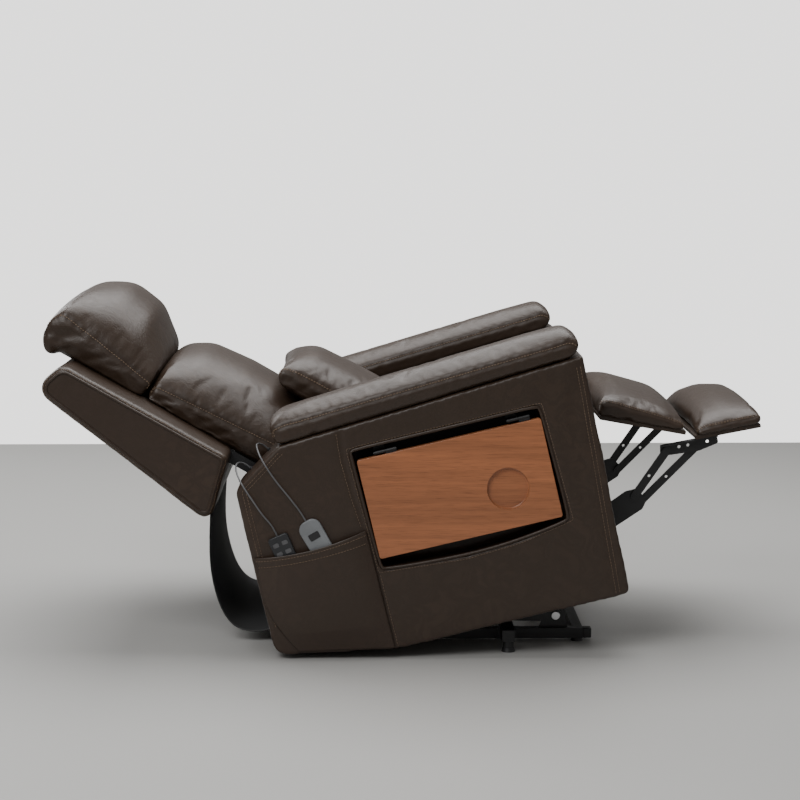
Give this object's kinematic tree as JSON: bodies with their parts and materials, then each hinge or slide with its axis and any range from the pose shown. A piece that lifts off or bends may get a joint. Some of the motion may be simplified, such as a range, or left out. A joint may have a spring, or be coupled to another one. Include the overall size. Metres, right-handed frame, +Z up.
{
  "type": "lift recliner chair",
  "caption": "Powered lift recliner chair, reclined with footrest out, with padded arms, a side tray, a pocket with two corded handsets, and a steel lift base.",
  "frame": {"origin": "on the floor at the middle of the chair's length and width, as it stands reclined", "axes": "+X the way the sitter faces, +Y the sitter's left, +Z up"},
  "size_m": [1.7423, 0.919, 0.8621],
  "materials": {
    "black_steel": "satin powder coat",
    "chrome_bolt": "polished",
    "black_plastic": "fine texture",
    "motor_housing": "fine texture",
    "leather": "smooth semi-gloss",
    "padded_leather": "smooth leather over foam",
    "board": "raw plywood",
    "board_wrap": "wrapped in leather",
    "spring_steel": "plain",
    "flap_cloth": "woven black, grey lining",
    "recess_cloth": "black felt",
    "tray_wood": "satin lacquered walnut",
    "handset_dark": "satin",
    "handset_grey": "satin",
    "button_silver": "satin silver",
    "button_dark": "satin",
    "cord_sheath": "smooth"
  },
  "bodies": {
    "base": {"base_rail_right": "black_steel", "base_rail_left": "black_steel", "base_cross_tubes": "black_steel", "base_end_caps": "black_plastic", "levelling_feet": "black_plastic", "base_outriggers": "black_steel", "lift_brackets": "black_steel", "base_pivot_bolts": "chrome_bolt"},
    "lift_arm": {"lift_lower_links": "black_steel"},
    "lift_guide": {"lift_upper_links": "black_steel"},
    "lift_frame": {"lift_frame_plates": "black_steel", "lift_frame_tube": "black_steel"},
    "lift_motor": {"lift_motor": "motor_housing"},
    "lift_rod": {"lift_rod": "spring_steel"},
    "chassis": {"side_plates": "black_steel", "chassis_cross_tubes": "black_steel", "seat_frame": "board", "seat_springs": "spring_steel", "seat_cushion": "padded_leather", "arm_right": "padded_leather", "arm_pad_right": "padded_leather", "arm_left": "padded_leather", "arm_pad_left": "padded_leather", "recess_lining": "recess_cloth", "side_pocket": "leather", "arm_glides": "black_plastic", "rear_flap": "flap_cloth", "power_inlet": "black_plastic", "tray_hinge_fixed": "black_steel", "handset_body": "handset_dark", "massage_handset_body": "handset_grey", "handset_cord": "cord_sheath", "massage_cord": "cord_sheath", "cord_glands": "black_plastic"},
    "recline_motor": {"recline_motor": "motor_housing"},
    "recline_rod": {"recline_rod": "spring_steel"},
    "back": {"back_frame": "black_steel", "back_shell": "padded_leather", "back_cushion": "padded_leather", "lumbar_pillow": "padded_leather"},
    "head": {"head_frame": "black_steel", "head_cushion": "padded_leather"},
    "leg_motor": {"leg_motor": "motor_housing"},
    "leg_rod": {"leg_rod": "spring_steel"},
    "leg_drive": {"leg_torque_tube": "black_steel", "leg_drive_plates": "black_steel"},
    "leg_rear": {"leg_rear_bars": "black_steel"},
    "leg_front": {"leg_front_bars": "black_steel"},
    "ottoman": {"ottoman_brackets": "black_steel", "ottoman_board": "board_wrap", "ottoman_pad": "padded_leather"},
    "flap": {"flap_board": "board_wrap", "flap_pad": "padded_leather"},
    "tray": {"tray_board": "tray_wood", "tray_hinge_moving": "black_steel"},
    "button_1": {"handset_button_1": "button_silver"},
    "button_2": {"handset_button_2": "button_silver"},
    "button_3": {"handset_button_3": "button_silver"},
    "button_4": {"handset_button_4": "button_silver"},
    "massage_button": {"massage_button": "button_dark"}
  },
  "joints": [
    {"name": "lift", "type": "hinge", "parent": "base", "child": "lift_arm", "pos_m": [0.372, 0, 0.063], "axis": [0, 1, 0], "range_deg": [0, 52]},
    {"name": "lift_guide", "type": "hinge", "parent": "base", "child": "lift_guide", "pos_m": [0.373, 0, 0.095], "axis": [0, 1, 0], "range_deg": [0, 50.23]},
    {"name": "lift_level", "type": "hinge", "parent": "lift_arm", "child": "lift_frame", "pos_m": [-0.028, 0, 0.072], "axis": [0, 1, 0], "range_deg": [-25.2, 0]},
    {"name": "lift_motor_pivot", "type": "hinge", "parent": "base", "child": "lift_motor", "pos_m": [-0.165, 0, 0.06], "axis": [0, 1, 0], "range_deg": [-5.48, 0]},
    {"name": "lift_rod_slide", "type": "slide", "parent": "lift_motor", "child": "lift_rod", "axis": [0.9893, 0, 0.146], "range_m": [0, 0.10073]},
    {"name": "recline", "type": "hinge", "parent": "lift_frame", "child": "chassis", "pos_m": [0.123, 0, 0.12], "axis": [0, 1, 0], "range_deg": [0, 13.6]},
    {"name": "recline_motor_pivot", "type": "hinge", "parent": "lift_frame", "child": "recline_motor", "pos_m": [0.202, 0, 0.152], "axis": [0, 1, 0], "range_deg": [0, 8.98]},
    {"name": "recline_rod_slide", "type": "slide", "parent": "recline_motor", "child": "recline_rod", "axis": [-0.996, 0, 0.0895], "range_m": [0, 0.08092]},
    {"name": "backrest", "type": "hinge", "parent": "chassis", "child": "back", "pos_m": [-0.15721, 0, 0.32996], "axis": [0, 1, 0], "range_deg": [0, 33.2], "deforming": ["lumbar_pillow", "rear_flap"]},
    {"name": "headrest", "type": "hinge", "parent": "back", "child": "head", "pos_m": [-0.57007, 0, 0.70105], "axis": [0, 1, 0], "range_deg": [0, 25]},
    {"name": "legrest", "type": "hinge", "parent": "chassis", "child": "leg_drive", "pos_m": [0.37743, 0, 0.21238], "axis": [0, 1, 0], "range_deg": [-71.1, 0]},
    {"name": "leg_rear_pivot", "type": "hinge", "parent": "leg_drive", "child": "leg_rear", "pos_m": [0.56527, 0, 0.35453], "axis": [0, 1, 0], "range_deg": [0, 159.5]},
    {"name": "ottoman_pivot", "type": "hinge", "parent": "leg_rear", "child": "ottoman", "pos_m": [0.64277, 0, 0.46794], "axis": [0, 1, 0], "range_deg": [-2.4, 0]},
    {"name": "leg_front_pivot", "type": "hinge", "parent": "leg_drive", "child": "leg_front", "pos_m": [0.58237, 0, 0.33912], "axis": [0, 1, 0], "range_deg": [0, 172.04]},
    {"name": "flap_pivot", "type": "hinge", "parent": "ottoman", "child": "flap", "pos_m": [0.69062, 0, 0.50832], "axis": [0, 1, 0], "range_deg": [-20, 0]},
    {"name": "leg_motor_pivot", "type": "hinge", "parent": "chassis", "child": "leg_motor", "pos_m": [-0.19772, 0, 0.10616], "axis": [0, 1, 0], "range_deg": [0, 7.47]},
    {"name": "leg_rod_slide", "type": "slide", "parent": "leg_motor", "child": "leg_rod", "axis": [0.9513, 0, 0.3084], "range_m": [-0.05887, 0]},
    {"name": "tray_hinge", "type": "hinge", "parent": "chassis", "child": "tray", "pos_m": [-0.11214, -0.447, 0.48387], "axis": [-0.972, 0, -0.2351], "range_deg": [0, 90]},
    {"name": "button_1_press", "type": "slide", "parent": "chassis", "child": "button_1", "axis": [0, 1, 0], "range_m": [0, 0.001], "stiffness_N_per_m": 300},
    {"name": "button_2_press", "type": "slide", "parent": "chassis", "child": "button_2", "axis": [0, 1, 0], "range_m": [0, 0.001], "stiffness_N_per_m": 300},
    {"name": "button_3_press", "type": "slide", "parent": "chassis", "child": "button_3", "axis": [0, 1, 0], "range_m": [0, 0.001], "stiffness_N_per_m": 300},
    {"name": "button_4_press", "type": "slide", "parent": "chassis", "child": "button_4", "axis": [0, 1, 0], "range_m": [0, 0.001], "stiffness_N_per_m": 300},
    {"name": "massage_button_press", "type": "slide", "parent": "chassis", "child": "massage_button", "axis": [0, 1, 0], "range_m": [0, 0.001], "stiffness_N_per_m": 300}
  ],
  "couplings": [
    {"joint": "lift_guide", "follows": "lift", "ratio": 0.96221},
    {"joint": "lift_level", "follows": "lift", "ratio": -0.48077},
    {"joint": "lift_motor_pivot", "follows": "lift", "ratio": -0.10346},
    {"joint": "lift_rod_slide", "follows": "lift", "m_per_rad": 0.11044},
    {"joint": "recline_motor_pivot", "follows": "recline", "ratio": 0.65273},
    {"joint": "recline_rod_slide", "follows": "recline", "m_per_rad": 0.3388},
    {"joint": "backrest", "follows": "recline", "ratio": 2.4265},
    {"joint": "leg_rear_pivot", "follows": "legrest", "ratio": -2.2405},
    {"joint": "ottoman_pivot", "follows": "legrest", "ratio": 0.030942},
    {"joint": "leg_front_pivot", "follows": "legrest", "ratio": -2.4169},
    {"joint": "flap_pivot", "follows": "legrest", "ratio": 0.27848},
    {"joint": "leg_motor_pivot", "follows": "legrest", "ratio": -0.10364},
    {"joint": "leg_rod_slide", "follows": "legrest", "m_per_rad": 0.047039}
  ]
}
